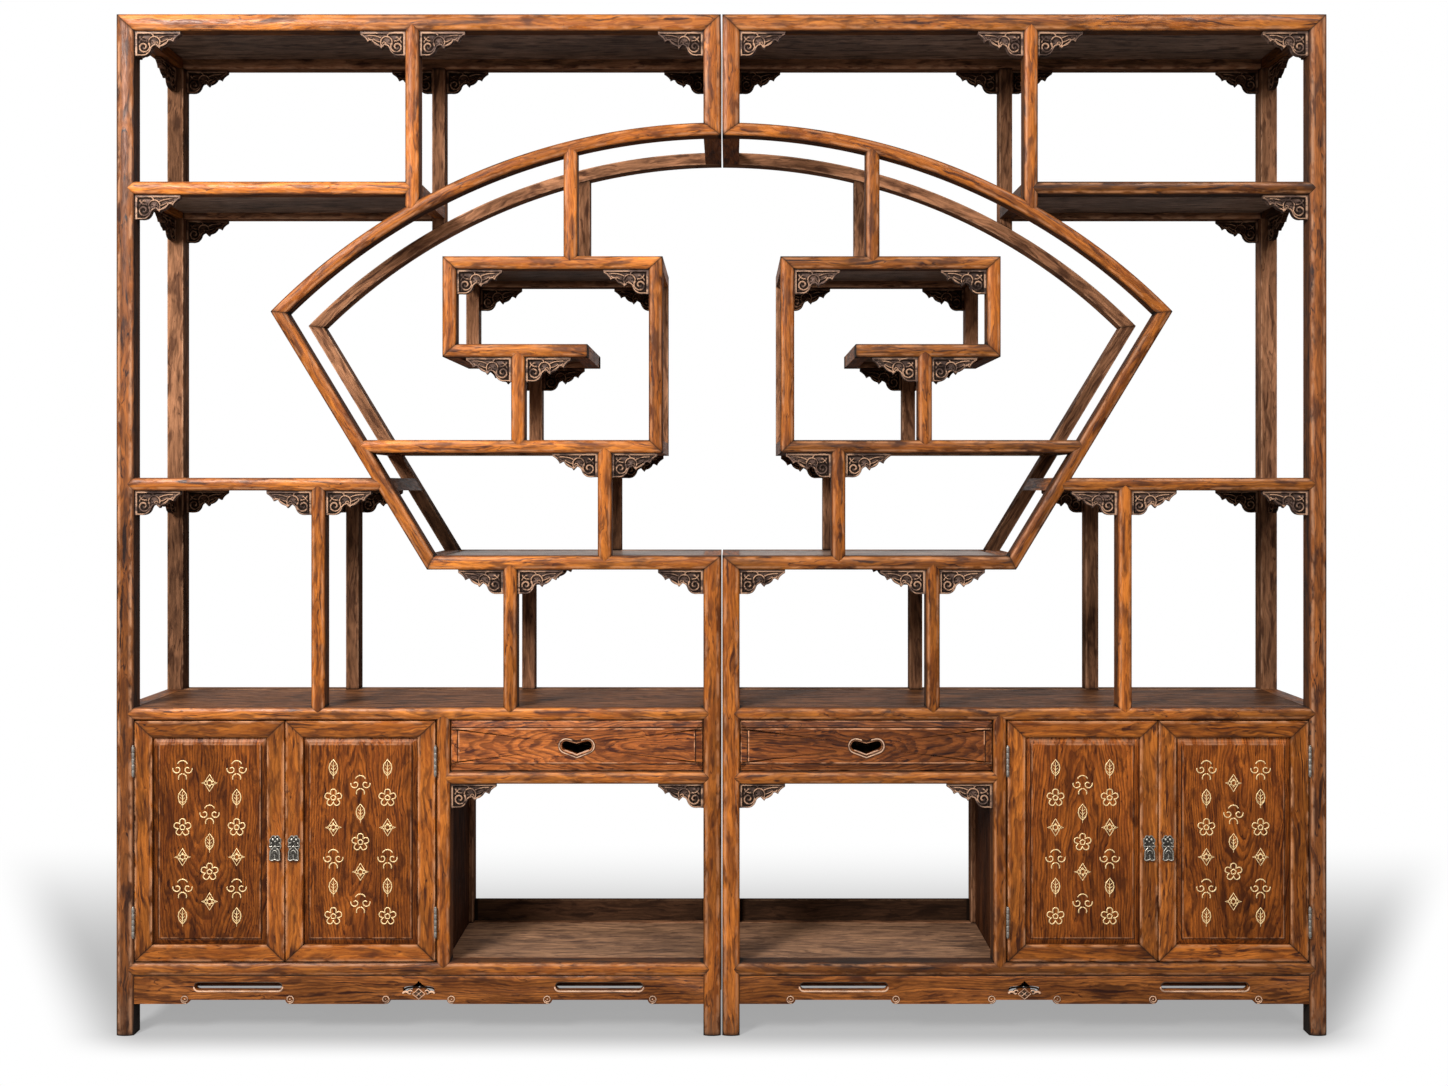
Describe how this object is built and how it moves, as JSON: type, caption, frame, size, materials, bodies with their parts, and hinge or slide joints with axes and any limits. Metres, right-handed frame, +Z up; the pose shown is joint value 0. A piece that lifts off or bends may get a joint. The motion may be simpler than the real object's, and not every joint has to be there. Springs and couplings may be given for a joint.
{
  "type": "display cabinet",
  "caption": "Mirrored pair of open hardwood display cabinets with a shared fan-shaped bay, scroll shelves, carved corner brackets, panelled doors and drawers.",
  "frame": {"origin": "floor level under the middle of the pair, midway from the pulls' front to the rear face", "axes": "+X along the front to the right unit, +Y from front to back, +Z up"},
  "size_m": [2.37, 0.3058, 2],
  "materials": {
    "frame_wood": "satin lacquered reddish hardwood, swelled front faces",
    "board_wood": "dark satin hardwood boards and panels",
    "carved_wood": "carved hardwood, worn along its raised edges",
    "door_wood": "satin lacquered hardwood, mitred door frames",
    "panel_wood": "figured satin hardwood, raised door panels",
    "drawer_wood": "strongly figured satin hardwood, raised drawer fronts",
    "lining_wood": "plain wood of the drawer boxes",
    "hinge_steel": "aged steel barrel hinges",
    "lock_bronze": "dark patinated bronze",
    "gilding": null
  },
  "bodies": {
    "root": {"left_outer_posts": "frame_wood", "left_inner_posts": "frame_wood", "left_divider_posts": "frame_wood", "left_scroll_posts": "frame_wood", "left_fan_rails": "frame_wood", "left_fan_sides": "frame_wood", "left_top_frame": "frame_wood", "left_shelf_frames": "frame_wood", "left_scroll_shelf_frames": "frame_wood", "left_sill_frame": "frame_wood", "left_counter_frame": "frame_wood", "left_floor_frame": "frame_wood", "left_shelf_boards": "board_wood", "left_case_boards": "board_wood", "left_cupboard_case": "board_wood", "left_drawer_rails": "frame_wood", "left_aprons": "carved_wood", "right_outer_posts": "frame_wood", "right_inner_posts": "frame_wood", "right_divider_posts": "frame_wood", "right_scroll_posts": "frame_wood", "right_fan_rails": "frame_wood", "right_fan_sides": "frame_wood", "right_top_frame": "frame_wood", "right_shelf_frames": "frame_wood", "right_scroll_shelf_frames": "frame_wood", "right_sill_frame": "frame_wood", "right_counter_frame": "frame_wood", "right_floor_frame": "frame_wood", "right_shelf_boards": "board_wood", "right_case_boards": "board_wood", "right_cupboard_case": "board_wood", "right_drawer_rails": "frame_wood", "right_aprons": "carved_wood", "front_brackets": "carved_wood", "rear_brackets": "carved_wood", "side_brackets": "carved_wood", "hinge_post_leaves": "hinge_steel"},
    "left_inner_door": {"left_inner_door_frame": "door_wood", "left_inner_door_panel": "panel_wood", "left_inner_door_fittings": "lock_bronze"},
    "left_inner_door_pull": {"left_inner_door_pull": "lock_bronze"},
    "left_outer_door": {"left_outer_door_frame": "door_wood", "left_outer_door_panel": "panel_wood", "left_outer_door_fittings": "lock_bronze"},
    "left_outer_door_pull": {"left_outer_door_pull": "lock_bronze"},
    "left_drawer": {"left_drawer_front": "drawer_wood", "left_drawer_box": "lining_wood", "left_drawer_bottom": "lining_wood"},
    "right_inner_door": {"right_inner_door_frame": "door_wood", "right_inner_door_panel": "panel_wood", "right_inner_door_fittings": "lock_bronze"},
    "right_inner_door_pull": {"right_inner_door_pull": "lock_bronze"},
    "right_outer_door": {"right_outer_door_frame": "door_wood", "right_outer_door_panel": "panel_wood", "right_outer_door_fittings": "lock_bronze"},
    "right_outer_door_pull": {"right_outer_door_pull": "lock_bronze"},
    "right_drawer": {"right_drawer_front": "drawer_wood", "right_drawer_box": "lining_wood", "right_drawer_bottom": "lining_wood"}
  },
  "joints": [
    {"name": "left_inner_door_hinge", "type": "hinge", "parent": "root", "child": "left_inner_door", "pos_m": [-0.5592, -0.1494, 0.3805], "axis": [0, 0, 1], "range_deg": [0, 90]},
    {"name": "left_inner_door_pull_swing", "type": "hinge", "parent": "left_inner_door", "child": "left_inner_door_pull", "pos_m": [-0.8363, -0.1507, 0.372], "axis": [-1, 0, 0], "range_deg": [0, 75]},
    {"name": "left_outer_door_hinge", "type": "hinge", "parent": "root", "child": "left_outer_door", "pos_m": [-1.1498, -0.1494, 0.3805], "axis": [0, 0, -1], "range_deg": [0, 165]},
    {"name": "left_outer_door_pull_swing", "type": "hinge", "parent": "left_outer_door", "child": "left_outer_door_pull", "pos_m": [-0.8727, -0.1507, 0.372], "axis": [-1, 0, 0], "range_deg": [0, 75]},
    {"name": "left_drawer_slide", "type": "slide", "parent": "root", "child": "left_drawer", "axis": [0, -1, 0], "range_m": [0, 0.18]},
    {"name": "right_inner_door_hinge", "type": "hinge", "parent": "root", "child": "right_inner_door", "pos_m": [0.5592, -0.1494, 0.3805], "axis": [0, 0, -1], "range_deg": [0, 90]},
    {"name": "right_inner_door_pull_swing", "type": "hinge", "parent": "right_inner_door", "child": "right_inner_door_pull", "pos_m": [0.8363, -0.1507, 0.372], "axis": [-1, 0, 0], "range_deg": [0, 75]},
    {"name": "right_outer_door_hinge", "type": "hinge", "parent": "root", "child": "right_outer_door", "pos_m": [1.1498, -0.1494, 0.3805], "axis": [0, 0, 1], "range_deg": [0, 165]},
    {"name": "right_outer_door_pull_swing", "type": "hinge", "parent": "right_outer_door", "child": "right_outer_door_pull", "pos_m": [0.8727, -0.1507, 0.372], "axis": [-1, 0, 0], "range_deg": [0, 75]},
    {"name": "right_drawer_slide", "type": "slide", "parent": "root", "child": "right_drawer", "axis": [0, -1, 0], "range_m": [0, 0.18]}
  ]
}
